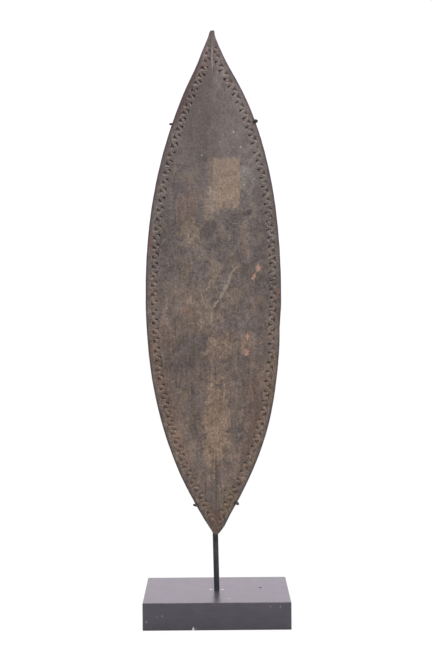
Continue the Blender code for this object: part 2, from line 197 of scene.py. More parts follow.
def cloud(across, along, cell, seed):
    """Soft unevenness from -1 to 1: random heights on a square lattice of that cell
    size, blended between the four nearest lattice points with the ease curve."""
    size = 64
    lattice = np.random.default_rng(seed).uniform(-1.0, 1.0, (size, size))
    u, v = across / cell + 1000.0, along / cell + 1000.0
    column, row = np.floor(u).astype(int), np.floor(v).astype(int)
    p, q = ease(u - column, 0.0, 1.0), ease(v - row, 0.0, 1.0)
    top, low = (
        lattice[line % size, column % size] * (1 - p) + lattice[line % size, (column + 1) % size] * p
        for line in (row, row + 1)
    )
    return top * (1 - q) + low * q


# The leaf outline


def half_width(down):
    """Half the shield's width: each taper is (1 - r^fullness)^taper with r from 0 at
    the widest place to 1 at the tip, joined by a root-sum-square to the blunt tips."""
    above = np.clip((WIDEST_DOWN - down) / WIDEST_DOWN, 0.0, 1.0)
    below = np.clip((down - WIDEST_DOWN) / (1.0 - WIDEST_DOWN), 0.0, 1.0)
    leaf = SHIELD_HALF_WIDTH * (1 - above ** TOP_FULLNESS) ** TOP_TAPER
    leaf = leaf * (1 - below ** FOOT_FULLNESS) ** FOOT_TAPER
    leaf = leaf - NECK_HOLLOW * bump(down, NECK_DOWN, NECK_SPREAD)
    return np.hypot(np.maximum(leaf, 0.0), TIP_HALF_WIDTH)


def centre_x(down):
    """The middle line: a straight lean, a bell-shaped bulge and a sway at the tip."""
    lean = LEAN_OVER_LENGTH * (down - LEAN_PIVOT_DOWN)
    bulge = LEFT_BULGE * bump(down, LEFT_BULGE_DOWN, LEFT_BULGE_SPREAD)
    return -(lean + bulge + TIP_SWAY * bump(down, TIP_SWAY_DOWN, TIP_SWAY_SPREAD))


def side_x(down, side):
    """The outline on one side: the middle line plus or minus the half width and the
    side's swells."""
    width = half_width(down)
    for outward, place, spread in EDGE_SWELLS[side]:
        width = width + outward * bump(down, place, spread)
    return centre_x(down) + side * width


def edge_slope(down, side):
    """How fast the outline widens for each metre down, by central difference."""
    step = 0.0005
    return side * (side_x(down + step, side) - side_x(down - step, side)) / (2.0 * step * SHIELD_LENGTH)


def height_z(down):
    """Height above the ground."""
    return SHIELD_TOP_Z - down * SHIELD_LENGTH


def down_at(z):
    """The fraction down at a height."""
    return np.clip((SHIELD_TOP_Z - z) / SHIELD_LENGTH, 0.0, 1.0)


def face_height(x, down):
    """How far the face stands before the flat back: the rim's thickness, a crown of
    1 - |q|^power across the width, and the short bell-shaped keel at the top."""
    width = half_width(down)
    from_middle = x - centre_x(down)
    across = np.clip(np.abs(from_middle) / width, 0.0, 1.0)
    swell = CROWN * (width / SHIELD_HALF_WIDTH) ** CROWN_TAPER
    keel = KEEL_HEIGHT * (1.0 - ease(down, *KEEL_FADES_DOWN)) * bump(from_middle, 0.0, KEEL_SPREAD)
    return EDGE_THICKNESS + swell * (1.0 - across ** CROWN_POWER) + keel


def face_wave(x, z):
    """How far the hewn face dips: a wide unevenness and half as much of a short one."""
    return FACE_WAVE * np.abs(cloud(x, z, *WIDE_CLOUD) + 0.5 * cloud(x, z, *SHORT_CLOUD))


def border_fit(down):
    """The share of its full width that the border has where the tips are narrow."""
    return np.minimum(1.0, half_width(down) / BAND_FULL_HALF_WIDTH)


def from_edge(down, inset, side):
    """x and z of points `inset` in from the edge, square to it, less by the fit."""
    fit = border_fit(down)
    turn = np.arctan(edge_slope(down, side)) * fit
    x = side_x(down, side) - side * inset * fit * np.cos(turn)
    return x, height_z(down) - inset * fit * np.sin(turn)


def tip_squeeze(down, side):
    """The share of the width left within the rounding of a tip, a quarter circle.
    The top tip keeps a small nib on the right."""
    from_end = np.minimum(down, 1.0 - down) * SHIELD_LENGTH / TIP_ROUNDING
    arc = np.sqrt(np.clip(1.0 - (1.0 - np.minimum(from_end, 1.0)) ** 2, 0.0, 1.0))
    share = TIP_LEAST + (1.0 - TIP_LEAST) * arc
    return np.where((down < 0.5) & (side > 0), 1.0, share)


def edge_run():
    """Fine even fractions down, and the length of edge run from the top to each."""
    fine = np.linspace(0.0, 1.0, 4001)
    step = np.hypot(np.diff(half_width(fine)), np.diff(fine) * SHIELD_LENGTH)
    return fine, np.concatenate(([0.0], np.cumsum(step)))


# The carved border


def chip_stations(side):
    """Where each chip's pitch starts: equal steps along the edge's length, plus the
    sum of drift * sin(m pi part) / (m pi), m counting the drifts from 1."""
    fine, run = edge_run()
    first, last = np.interp((FIRST_CHIP_DOWN[side], LAST_CHIP_DOWN[side]), fine, run)
    part = np.linspace(0.0, 1.0, CHIPS_PER_SIDE + 1)
    place = first + (last - first) * part
    for waves, drift in enumerate(SPACING_DRIFT[side], 1):
        place = place + drift * np.sin(waves * math.pi * part) / (waves * math.pi)
    return np.interp(place, run, fine)


def notch(along, across, index, corners, deep, wander):
    """A three-faced notch as a share of its depth: the least of three ratios, softened
    as -log(sum of e^(-sharpness ratio)) / sharpness. A ratio is the distance from one
    edge of the triangle over the deep point's distance from it. Below 0 is outside.
    Every chip's corners wander a little, by its index. Also gives 1 on the walls that
    face down or along the line, and 0 on the one that faces up."""
    corners = np.array(corners)[None] + wander[:, :3]
    deep = np.array(deep)[None] + wander[:, 3]
    ratios = []
    for start in range(3):
        ax, ay = corners[index, start, 0], corners[index, start, 1]
        bx, by = corners[index, (start + 1) % 3, 0] - ax, corners[index, (start + 1) % 3, 1] - ay
        at_deep = bx * (deep[index, 1] - ay) - by * (deep[index, 0] - ax)
        ratios.append((bx * (across - ay) - by * (along - ax)) / at_deep)
    total = sum(np.exp(-WALL_SHARPNESS * np.clip(ratio, -3.0, 3.0)) for ratio in ratios)
    facing_down = ease(ratios[1] - np.minimum(ratios[0], ratios[2]), *FACING_DOWN)
    return -np.log(total) / WALL_SHARPNESS, facing_down


def carving(down, inset, side):
    """Depth of the chips in metres, and the crest, 1 along the arrises of the ridge,
    a painted shade on walls that face down, and a painted highlight, 1 on walls that
    face up. The notch shares are rounded at their arrises by (m + sqrt(m^2 + r^2)) / 2."""
    rng = np.random.default_rng(CARVING_SEED[side])
    wander = rng.normal(0.0, KNIFE_WANDER, (2, CHIPS_PER_SIDE + 1, 4, 2)).clip(-MOST_WANDER, MOST_WANDER)
    wander[:, :, 3] = 0.5 * wander[:, :, :3].mean(axis=2)
    strength = rng.uniform(*CUT_STRENGTH, (2, CHIPS_PER_SIDE + 1))
    stations = chip_stations(side)
    above, below = 2.0 * stations[0] - stations[1], 2.0 * stations[-1] - stations[-2]
    stations = np.concatenate(((above,), stations, (below,)))
    place = np.interp(down, stations, np.arange(-1, CHIPS_PER_SIDE + 2))
    across = (inset - RIM_BAND[side]) / NOTCH_BAND[side]
    index = np.clip(np.floor(place).astype(int), 0, CHIPS_PER_SIDE - 1)
    before = np.clip(index - 1, 0, CHIPS_PER_SIDE - 1)

    worn = BORDER_WEAR[side] * ease(down, *WEAR_SETS_IN_DOWN)
    soft = ARRIS_SOFTNESS + WORN_SOFTNESS * worn
    shares, depths, dims = [], [], []
    for row, which, chip, deepest, full, chip_shade in (
        (0, index, OUTER_CHIP, OUTER_DEEP, OUTER_CHIP_DEPTH, OUTER_CHIP_SHADE[side]),
        (1, index, INNER_CHIP, INNER_DEEP, INNER_CHIP_DEPTH, 1.0),
        (1, before, INNER_CHIP, INNER_DEEP, INNER_CHIP_DEPTH, 1.0),
    ):
        share, facing_down = notch(place - which, across, which, chip[side], deepest[side], wander[row])
        eased = 0.5 * (share + np.sqrt(share * share + soft * soft))
        shares.append(share)
        depths.append(full * strength[row][which] * (1.0 - worn) * eased)
        # Painted shade falls on the walls that face down, less in the outer chips
        dims.append(facing_down * chip_shade)

    nearest = np.maximum.reduce(shares)
    dim = np.choose(np.argmax(shares, axis=0), dims)
    in_band = ease(across, *BAND_BEGINS) * (1.0 - ease(across, *BAND_ENDS))
    in_band = in_band * ease(place, *ROW_BEGINS) * ease(place, *ROW_ENDS)
    depth = np.maximum.reduce(depths) * in_band * border_fit(down)
    crest = np.exp(-((nearest - CREST_AT) / CREST_SPREAD) ** 2) * in_band
    inside = ease(nearest, *WALL_LIGHT_AND_SHADE_BEGIN) * in_band
    # The last two are painted shade on the walls that face down and a painted highlight on those that face
    # up
    return depth, crest, inside * dim, inside * (1.0 - dim)


# The shield's skin


def shield_rows():
    """Fractions down: close together at the tips, then even steps along the edge."""
    fine, run = edge_run()
    first, last = np.interp((EVEN_ROWS_FROM, 1.0 - EVEN_ROWS_FROM), fine, run)
    middle = np.interp(np.linspace(first, last, int((last - first) / ROW_STEP)), run, fine)
    return np.concatenate((TIP_ROWS, middle, 1.0 - TIP_ROWS[::-1]))


def side_skin(down, side):
    """One side's strip, from the back edge round the wall and over the carved band to
    its inner line. The wall is a chain of (inset, rise) pairs, the face lies at its
    height less the chips and a slight wave. Also gives the marks of the carving."""
    inner_line = RIM_BAND[side] + NOTCH_BAND[side]
    bunched = BORDER_SHARES - BUNCHING * np.sin(2.0 * math.pi * BORDER_SHARES)
    insets = np.concatenate((WALL[:, 0], RIM_INSETS, RIM_BAND[side] + NOTCH_BAND[side] * bunched))
    down, inset = np.broadcast_arrays(down[:, None], insets[None])
    x, z = from_edge(down, inset, side)
    wave = RIM_WAVE * cloud(inset * 3.0, z, *RIM_CLOUD[side]) * ease(inset, 0.012, 0.0)
    x = x - side * np.abs(wave)
    depth, crest, grime, ledge = carving(down, inset, side)
    rise = face_height(x, down_at(z)) - depth - face_wave(x, z) * ease(inset, 0.0, 0.010)
    rise[:, :len(WALL)] = WALL[:, 1]
    x = centre_x(down) + (x - centre_x(down)) * tip_squeeze(down, side)
    # Where the dark edge, painted shade on the outward bevel, lies
    edge = 1.0 - ease(inset, *EDGE_FADES)
    rim = ease(inset, *RIM_BEGINS) * (1.0 - ease(inset, *RIM_ENDS))
    high, low = BORDER_SHADE[side]
    shade = high + (low - high) * ease(down, *SHADE_CHANGES_DOWN)
    shade = shade * (1.0 - ease(inset, inner_line, inner_line + SHADE_FADES_OVER))
    marks = np.stack((depth / OUTER_CHIP_DEPTH, crest, grime, ledge, edge, rim, shade), axis=-1)
    return np.stack((x, BACK_Y - rise, z), axis=-1), marks


def between(start, end, share):
    """x and z on the straight lines from one chain of points to another."""
    x, z = (start[:, part] + (end - start)[:, part] * share for part in ([0], [2]))
    return x, z


def make_shield(finish):
    """The whole board as one closed skin: each row is a ring of points round the
    section, rings are joined to the next one down, and a fan closes each tip."""
    down = shield_rows()
    left, left_marks = side_skin(down, -1)
    right, right_marks = side_skin(down, 1)
    half = 0.5 * HALF_FIELD_SHARES
    x, z = between(left[:, -1], right[:, -1], np.concatenate((0.5 - half[::-1], 0.5 + half[1:])))
    field = np.stack((x, BACK_Y - face_height(x, down_at(z)) + face_wave(x, z), z), axis=-1)
    x, z = between(left[:, 0], right[:, 0], BACK_SHARES)
    hollow = BACK_HOLLOWS * np.abs(cloud(x, z * 0.45, *HOLLOW_CLOUD)) * np.sin(math.pi * BACK_SHARES) ** 0.5
    back = np.stack((x, BACK_Y - hollow, z), axis=-1)
    rings = np.concatenate((left, field, right[:, ::-1], back), axis=1)
    plain_face, plain_back = (np.zeros((*part.shape[:2], len(CARVING_MARKS))) for part in (field, back))
    marks = np.concatenate((left_marks, plain_face, right_marks[:, ::-1], plain_back), axis=1)
    return closed_rings("carved_shield", rings, finish, marks)


# Meshes


def put(name, data):
    """An object in the scene, at the origin."""
    made = bpy.data.objects.new(name, data)
    bpy.context.scene.collection.objects.link(made)
    return made


def closed_rings(name, rings, finish, marks=None):
    """A closed skin from rings of points, with a centre point and a fan at each end.
    Marks are values for each point, and 0 at the two centres."""
    rows, columns = rings.shape[:2]
    ends = np.stack((rings[0].mean(axis=0), rings[-1].mean(axis=0)))
    points = np.concatenate((rings.reshape(-1, 3), ends))
    index = np.arange(rows * columns).reshape(rows, columns)
    after = np.roll(index, -1, axis=1)
    quads = np.stack((index[:-1], index[1:], after[1:], after[:-1]), axis=-1).reshape(-1, 4)
    top = np.stack((np.full(columns, rows * columns), index[0], after[0]), axis=-1)
    foot = np.stack((np.full(columns, rows * columns + 1), after[-1], index[-1]), axis=-1)
    mesh = bpy.data.meshes.new(name)
    mesh.from_pydata(points, [], quads.tolist() + top.tolist() + foot.tolist())
    if marks is not None:
        for place, mark in enumerate(CARVING_MARKS):
            values = np.concatenate((marks[..., place].ravel(), (0.0, 0.0)))
            mesh.attributes.new(mark, "FLOAT", "POINT").data.foreach_set("value", values.astype(np.float32))
    mesh.shade_smooth()
    mesh.materials.append(finish)
    mesh.update()
    return put(name, mesh)


def bar(name, path, radius, finish, sides):
    """A round bar: circles square to the path, which shrink to a low dome at the ends."""
    step = np.gradient(path, axis=0)
    step /= np.linalg.norm(step, axis=1)[:, None]
    turn = np.radians(DOME_TURNS)
    inward = DOME_HEIGHT * radius * (1.0 - np.cos(turn)[:, None])
    path = np.concatenate((path[0] + step[0] * inward, path[1:-1], path[-1] - step[-1] * inward[::-1]))
    domed, dome = len(turn), radius * np.sin(turn)
    radii = np.concatenate((dome, np.full(len(step) - 2, radius), dome[::-1]))
    step = np.concatenate((np.repeat(step[:1], domed, 0), step[1:-1], np.repeat(step[-1:], domed, 0)))
    aside = np.cross(step, (0.0, 0.0, 1.0))
    upright = np.linalg.norm(aside, axis=1) < 0.25
    aside[upright] = np.cross(step[upright], (0.0, 1.0, 0.0))
    aside /= np.linalg.norm(aside, axis=1)[:, None]
    other = np.cross(step, aside)
    angle = np.linspace(0.0, 2.0 * math.pi, sides, endpoint=False)[None, :, None]
    ring = np.cos(angle) * aside[:, None] + np.sin(angle) * other[:, None]
    return closed_rings(name, path[:, None] + radii[:, None, None] * ring, finish)


# Helpers for the finishes


def add(tree, kind, inputs=None, **settings):
    """A shader node with its settings, and its inputs given as numbers or sockets."""
    made = tree.nodes.new("ShaderNode" + kind)
    for name, value in settings.items():
        setattr(made, name, value)
    for name, value in (inputs or {}).items():
        if isinstance(value, bpy.types.NodeSocket):
            tree.links.new(value, made.inputs[name])
        else:
            made.inputs[name].default_value = value
    return made


def fed(kind, inputs, **settings):
    """What a node puts out, in the tree that the sockets among its inputs belong to."""
    sockets = (value for value in inputs.values() if isinstance(value, bpy.types.NodeSocket))
    return add(next(sockets).id_data, kind, inputs, **settings).outputs


def calc(operation, *values):
    """One sum with numbers or sockets."""
    return fed("Math", dict(enumerate(values)), operation=operation)[0]


def vector_calc(operation, *values):
    """One sum with vectors. A length, a distance or a dot product is a number."""
    made = fed("VectorMath", dict(enumerate(values)), operation=operation)
    return made["Value" if operation in ("LENGTH", "DISTANCE", "DOT_PRODUCT") else "Vector"]


def folded(operation, values):
    """Values brought together by one operation, from the first to the last."""
    return functools.reduce(lambda first, second: calc(operation, first, second), values)


def any_of(shares):
    """The greatest of several shares."""
    return folded("MAXIMUM", shares)


def times(*shares):
    """Shares multiplied together."""
    return folded("MULTIPLY", shares)


def parts_of(point):
    """The x, y and z of a point."""
    return list(fed("SeparateXYZ", {0: point}))


def span(value, low, high, to_low=0.0, to_high=1.0):
    """Carry a value smoothly from one range to another."""
    names = {"Value": value, "From Min": low, "From Max": high, "To Min": to_low, "To Max": to_high}
    return fed("MapRange", names, interpolation_type="SMOOTHSTEP")[0]


def noise(point, scale, detail=3.0, rough=0.55, warp=0.0):
    """Cloudy noise from 0 to 1."""
    names = {"Vector": point, "Scale": scale, "Detail": detail, "Roughness": rough, "Distortion": warp}
    return fed("TexNoise", names)[0]


def stretched(point, size):
    """The point with its axes scaled, to draw a pattern out along the grain."""
    return fed("Mapping", {"Vector": point, "Scale": size})[0]


def seen(colour):
    """The linear colour of one as a screen shows it, 0 to 255: v / 12.92 while dark,
    else ((v + 0.055) / 1.055)^2.4. A socket is handed on as it is."""
    if isinstance(colour, bpy.types.NodeSocket):
        return colour
    values = np.array(colour) / 255.0
    linear = np.where(values > 0.04045, ((values + 0.055) / 1.055) ** 2.4, values / 12.92)
    return (*linear, 1.0)


def mixed(share, under, over):
    """One linear colour laid over another by a share."""
    return fed("Mix", {0: share, 6: under, 7: over}, data_type="RGBA")[2]


def layered(colour, *layers):
    """Seen colours laid over one another. A layer is its colour and then its shares,
    which are multiplied together."""
    for over, *shares in layers:
        colour = mixed(times(*shares), seen(colour), seen(over))
    return colour


def scaled(colour, factor):
    """A colour or a vector made greater or less by a factor."""
    return fed("VectorMath", {0: colour, "Scale": factor}, operation="SCALE")[0]


def varied(colour, cloudy, amount, strength):
    """A colour times 1 + amount * strength * (cloud - 0.5)."""
    push = times(calc("SUBTRACT", cloudy, 0.5), strength)
    return scaled(colour, calc("MULTIPLY_ADD", push, amount, 1.0))


def shift_point(point, scale, amount, detail=2.0):
    """The point pushed about by coloured noise, which frays a patch's edge."""
    cloudy = fed("TexNoise", {"Vector": point, "Scale": scale, "Detail": detail})["Color"]
    push = vector_calc("SUBTRACT", cloudy, (0.5, 0.5, 0.5))
    return vector_calc("ADD", point, scaled(push, amount))


NOWHERE = (0.0, 0.0, 0.0)


def new_group(name, inputs):
    """An empty node group that puts out a share, with its inputs' first values."""
    group = bpy.data.node_groups.new(name, "ShaderNodeTree")
    for label, value in inputs.items():
        kind = "NodeSocketFloat" if isinstance(value, float) else "NodeSocketVector"
        group.interface.new_socket(label, in_out="INPUT", socket_type=kind).default_value = value
    group.interface.new_socket("Share", in_out="OUTPUT", socket_type="NodeSocketFloat")
    given, result = (group.nodes.new("NodeGroup" + end) for end in ("Input", "Output"))
    return group, given.outputs, result.inputs["Share"]


def stain_group():
    """How far a point lies within a worn or stained patch. Dot products with the
    patch's two axes, each over its half size, give u and v. Their root-sum-square, or
    the greater of the two for a square patch, is faded over the softness about 1."""
    group, given, share = new_group("patch_of_wear", {
        "Point": NOWHERE, "Across": NOWHERE, "Along": NOWHERE, "Middle": NOWHERE,
        "Softness": 0.4, "Squareness": 0.0,
    })
    middle = parts_of(given["Middle"])
    u, v = (
        calc("SUBTRACT", vector_calc("DOT_PRODUCT", given["Point"], given[axis]), part)
        for axis, part in (("Across", middle[0]), ("Along", middle[1]))
    )
    rounded = calc("SQRT", calc("MULTIPLY_ADD", u, u, times(v, v)))
    squared = any_of([calc("ABSOLUTE", u), calc("ABSOLUTE", v)])
    names = {0: given["Squareness"], 2: rounded, 3: squared}
    far = fed("Mix", names, data_type="FLOAT")[0]
    inner = calc("SUBTRACT", 1.0, given["Softness"])
    outer = calc("ADD", 1.0, given["Softness"])
    group.links.new(span(far, outer, inner), share)
    return group


def speck_group():
    """Scattered small specks: the near cores of a cell pattern, kept where a random
    number of the cell passes a limit."""
    group, given, share = new_group("scattered_specks", {
        "Point": NOWHERE, "Scale": 200.0, "Size": 0.2, "Rarity": 0.9,
    })
    cells = fed("TexVoronoi", {"Vector": given["Point"], "Scale": given["Scale"]})
    names = {"Value": cells["Distance"], "From Min": given["Size"], "From Max": 0.0}
    core = fed("MapRange", names)[0]
    chance = fed("SeparateColor", {0: cells["Color"]})[0]
    kept = calc("GREATER_THAN", chance, given["Rarity"])
    group.links.new(times(core, kept), share)
    return group


STAIN = stain_group()
SPECKS = speck_group()


def patch(point, x, z, wide, tall, turn, softness, squareness=0.0):
    """The share of one patch of wear at a point, its axes turned by an angle."""
    cosine, sine = math.cos(math.radians(turn)), math.sin(math.radians(turn))
    across = (cosine / wide, 0.0, -sine / wide)
    along = (sine / tall, 0.0, cosine / tall)
    middle = (across[0] * x + across[2] * z, along[0] * x + along[2] * z, 0.0)
    return fed("Group", {
        "Point": point, "Across": across, "Along": along, "Middle": middle,
        "Softness": softness, "Squareness": squareness,
    }, node_tree=STAIN)[0]


def patches(point, places, softness):
    """The greatest share of several patches of one softness."""
    return any_of([patch(point, *place, softness) for place in places])


def specks(point, scale, size, rarity):
    """The share of scattered specks at a point."""
    names = {"Point": point, "Scale": scale, "Size": size, "Rarity": rarity}
    return fed("Group", names, node_tree=SPECKS)[0]


def frayed(share, cloudy, amount):
    """A patch with a ragged border: the cloud pushes its share over or under a half,
    and the patch's own share keeps it from breaking out further off."""
    pushed = calc("MULTIPLY_ADD", calc("SUBTRACT", cloudy, 0.5), amount, share)
    return times(span(pushed, 0.22, 0.78), span(share, 0.0, 0.25))


def new_finish(name):
    """A material with its tree, shader and object coordinates."""
    made = bpy.data.materials.new(name)
    made.use_nodes = True
    tree = made.node_tree
    return made, tree, tree.nodes["Principled BSDF"], add(tree, "TexCoord").outputs["Object"]


def join(tree, shader, colour, rough, relief, distance, gleam):
    """Lead the worked-out colour, roughness and relief to the shader."""
    lifted = fed("Bump", {"Height": relief, "Distance": distance})[0]
    for name, made in (("Base Color", colour), ("Roughness", rough), ("Normal", lifted)):
        tree.links.new(made, shader.inputs[name])
    shader.inputs["Specular IOR Level"].default_value = gleam


# The old wood

# Noises of the wood: upright stretch, scale, detail, roughness, warp
WOOD_NOISES = {
    "clouds": (0.7, 26.0, 5.0, 0.62, 0.6),
    "blotch": (0.8, 95.0, 4.0, 0.62, 0.8),
    "mottle": (1.0, 270.0, 3.0, 0.7, 0.0),
    "fibre": (0.06, 620.0, 3.0, 0.6, 0.0),
    "streaks": (0.12, 210.0, 3.0, 0.6, 0.4),
    "hue": (0.8, 42.0, 2.0, 0.5, 0.4),
}

# Worn and stained patches: name, place, tint and share. A place is x, z, half width,
# half height, turn in degrees, softness and, for a square patch, squareness.
DARK, SLATE, BROWN, RED_BROWN = (80, 71, 69), (82, 74, 74), (112, 92, 83), (84, 62, 58)
PATCHES = (
    ("light shoulder", (0.034, 0.985, 0.040, 0.110, 12, 0.80), (126, 116, 112), 0.18),
    ("dim shoulder", (-0.030, 0.975, 0.034, 0.110, -14, 0.70), DARK, 0.35),
    ("pale left rim", (-0.0196, 1.1070, 0.0042, 0.0400, 19.5, 0.28), (132, 116, 114), 0.45),
    ("light neck", (0.0140, 1.0850, 0.0120, 0.0500, 14, 0.70), (128, 118, 116), 0.36),
    ("left border at the neck", (-0.0483, 1.0560, 0.0085, 0.0700, 21, 0.60), RED_BROWN, 0.44),
    ("dim neck", (-0.016, 1.075, 0.012, 0.050, -14, 0.70), DARK, 0.30),
    ("rubbed panel", (0.0252, 0.8646, 0.0272, 0.0488, 0, 0.05, 0.92), (141, 121, 105), 0.60),
    ("panel's faded edge", (0.0205, 0.8640, 0.0312, 0.0520, 0, 0.25, 0.85), (141, 122, 108), 0.34),
    ("panel's warm foot", (0.0240, 0.8480, 0.0270, 0.0240, 0, 0.60, 0.50), (147, 128, 111), 0.22),
    ("panel's left tail", (-0.0105, 0.8180, 0.0115, 0.0330, -4, 0.45, 0.3), (140, 124, 112), 0.66),
    ("grey beside the panel", (0.066, 0.862, 0.014, 0.050, 0, 0.60), (132, 124, 118), 0.40),
    ("smudge", (0.0672, 0.8046, 0.0108, 0.0068, -34, 0.35), (70, 62, 60), 0.76),
    ("dark below the panel", (0.036, 0.796, 0.018, 0.014, 0, 0.50), DARK, 0.46),
    ("dim left field", (-0.068, 0.810, 0.026, 0.050, 10, 0.60), DARK, 0.40),
    ("brown cloud", (-0.052, 0.815, 0.020, 0.040, 10, 0.60), BROWN, 0.55),
    ("olive cloud", (-0.048, 0.765, 0.018, 0.026, 0, 0.60), (124, 109, 94), 0.66),
    ("dark between", (-0.012, 0.772, 0.014, 0.022, 20, 0.50), DARK, 0.70),
    ("dim middle", (0.024, 0.765, 0.024, 0.026, 20, 0.60), DARK, 0.26),
    ("right streak", (0.0610, 0.7550, 0.0090, 0.0380, -6, 0.60), (128, 110, 99), 0.60),
    ("dim left edge", (-0.098, 0.735, 0.022, 0.075, 0, 0.60), DARK, 0.35),
    ("dim right edge", (0.100, 0.700, 0.020, 0.180, 0, 0.60), DARK, 0.35),
    ("light spot", (0.002, 0.692, 0.012, 0.020, 10, 0.60), (134, 117, 98), 0.40),
    ("brown field", (-0.055, 0.625, 0.050, 0.050, 0, 0.70), (114, 98, 86), 0.40),
    ("rust cloud", (-0.052, 0.612, 0.014, 0.009, 0, 0.70), (138, 106, 90), 0.42),
    ("light heart", (-0.012, 0.615, 0.030, 0.030, 15, 0.70), (132, 115, 100), 0.36),
    ("dark by the scratch", (0.004, 0.632, 0.010, 0.022, 15, 0.50), DARK, 0.45),
    ("dim left", (-0.075, 0.520, 0.040, 0.040, 0, 0.55), DARK, 0.48),
    ("dim left middle", (-0.032, 0.515, 0.022, 0.036, 0, 0.60), DARK, 0.34),
    ("left brown", (-0.100, 0.560, 0.018, 0.030, 0, 0.70), BROWN, 0.50),
    ("light belly", (0.010, 0.540, 0.028, 0.030, 30, 0.60), (140, 119, 104), 0.60),
    ("rust about the chips", (0.063, 0.545, 0.008, 0.026, 0, 0.70), (132, 96, 80), 0.26),
    ("tan spot on the border", (0.0903, 0.3970, 0.0050, 0.0110, -14, 0.60), (160, 128, 96), 0.50),
    ("lower tan", (0.000, 0.385, 0.025, 0.088, 3, 0.50), (141, 119, 102), 0.75),
    ("lower left dim", (-0.038, 0.410, 0.013, 0.070, -8, 0.50), SLATE, 0.34),
    ("lower right dim", (0.050, 0.410, 0.012, 0.066, 8, 0.50), SLATE, 0.32),
    ("right brown", (0.078, 0.430, 0.018, 0.060, 8, 0.70), BROWN, 0.60),
    ("left border brown", (-0.092, 0.440, 0.014, 0.070, -14, 0.70), BROWN, 0.60),
    ("right border low down", (0.068, 0.355, 0.009, 0.060, 18, 0.60), RED_BROWN, 0.45),
    ("left border warm", (-0.066, 0.345, 0.008, 0.040, -20, 0.60), (132, 104, 90), 0.40),
    ("foot dim", (-0.008, 0.265, 0.018, 0.050, 0, 0.70), DARK, 0.24),
    ("foot red brown", (0.000, 0.196, 0.016, 0.026, 0, 0.60), (84, 60, 54), 0.48),
    ("foot olive", (0.022, 0.240, 0.016, 0.030, 0, 0.60), (122, 106, 90), 0.60),
)
CRISP_BELOW = 0.3

# Fine marks: x, z, half width, half height, turn in degrees
FRESH_CHIPS = (
    (0.0876, 0.6965, 0.0047, 0.0076, 10), (0.0790, 0.6798, 0.0029, 0.0084, 32),
    (0.0640, 0.5610, 0.0032, 0.0064, 10), (0.0618, 0.5290, 0.0050, 0.0066, 0),
)
RIM_SMEARS = (
    (0.1243, 0.6451, 0.0044, 0.0110, 0), (-0.1262, 0.7600, 0.0030, 0.0600, -4),
    (-0.1290, 0.5000, 0.0030, 0.0560, 5),
)
SCORED_FIELDS = ((0.0340, 0.7700, 0.0220, 0.0400, 0), (-0.0060, 0.6650, 0.0280, 0.0300, 20))
DARK_LINES = ((0.0003, 0.2850, 0.0011, 0.0580, 0), (-0.0471, 0.7614, 0.0010, 0.0042, 0))
KEEL_RUB = (-0.0011, 1.1150, 0.0009, 0.0300, 0)

# Scratches, each a chain of points (x, z) with the half widths of its runs
SCRATCHES = (
    (
        ((0.0480, 0.7010), (0.0331, 0.6868), (0.0265, 0.6650), (0.0175, 0.6500),
         (0.0098, 0.6352), (-0.0038, 0.6173), (-0.0074, 0.5875)),
        (0.0016, 0.0032, 0.0037, 0.0032, 0.0025, 0.0015),
    ),
    (((-0.0268, 0.6479), (-0.0218, 0.6312), (-0.0151, 0.6193)), (0.0012, 0.0012)),
    (((-0.0075, 0.6740), (-0.0115, 0.6590), (-0.0170, 0.6530)), (0.0012, 0.0010)),
)

# Light specks and pinholes: x, z, size
LIGHT_SPECKS = (
    (0.0390, 0.9650, 0.0018), (0.0545, 0.9362, 0.0017), (-0.0240, 0.9205, 0.0014),
    (-0.0500, 0.7610, 0.0012), (0.0540, 0.2810, 0.0017), (0.0590, 0.8900, 0.0011),
    (0.0610, 0.8600, 0.0012),
)
PINHOLES = ((0.0172, 0.2568, 0.0014), (-0.0471, 0.7590, 0.0012))

# Points this near the flat back are carried this far off, clear of the placed marks
NEAR_BACK, CARRIED_OFF = 0.004, 5.0


def hairlines(point):
    """Fine curved scratches: the borders of a cell pattern, kept in the scored fields
    and here and there."""
    scale, width = 46.0, 0.0008
    curved = shift_point(point, 60.0, 0.016)
    cells = fed("TexVoronoi", {"Vector": curved, "Scale": scale}, feature="DISTANCE_TO_EDGE")
    scattered = span(noise(point, 38.0, 3.0, 0.6), 0.54, 0.66, 0.0, 0.35)
    kept = any_of([patches(curved, SCORED_FIELDS, 0.5), scattered])
    return times(span(cells["Distance"], width * scale, 0.0), kept)


def patina(grain, height, lively, face, near):
    """Greyish brown, warmer towards the foot, with warm and grey clouds and patches of
    wear, then made lighter and darker by each of the wood's noises. A crisp patch
    reads the point that is only slightly shifted, a soft one a wider shift."""
    early = span(height, 0.99, 0.84)
    colour = layered(
        (99, 88, 86),
        ((105, 95, 92), span(height, 1.06, 0.90)),
        ((116, 101, 93), span(height, 0.80, 0.45)),
        ((128, 110, 94), span(grain.hue, 0.48, 0.66), 0.40, early),
        ((94, 90, 92), span(grain.hue, 0.48, 0.32), 0.38, early),
    )
    wide = shift_point(face, 34.0, 0.020, 4.0)
    for _, place, shade, share in PATCHES:
        softness = place[5]
        source, ragged = (near, 0.9) if softness < CRISP_BELOW else (wide, 2.6)
        colour = layered(colour, (shade, frayed(patch(source, *place), grain.blotch, ragged), share))
    for cloudy, amount, strength in (
        (grain.clouds, 1.1, lively),
        (grain.blotch, 1.5, lively),
        (grain.mottle, 2.1, lively),
        (grain.fibre, 0.55, 1.0),
        (grain.streaks, 0.9, span(height, 0.75, 0.40, 0.2, 1.15)),
    ):
        colour = varied(colour, cloudy, amount, strength)
    return colour


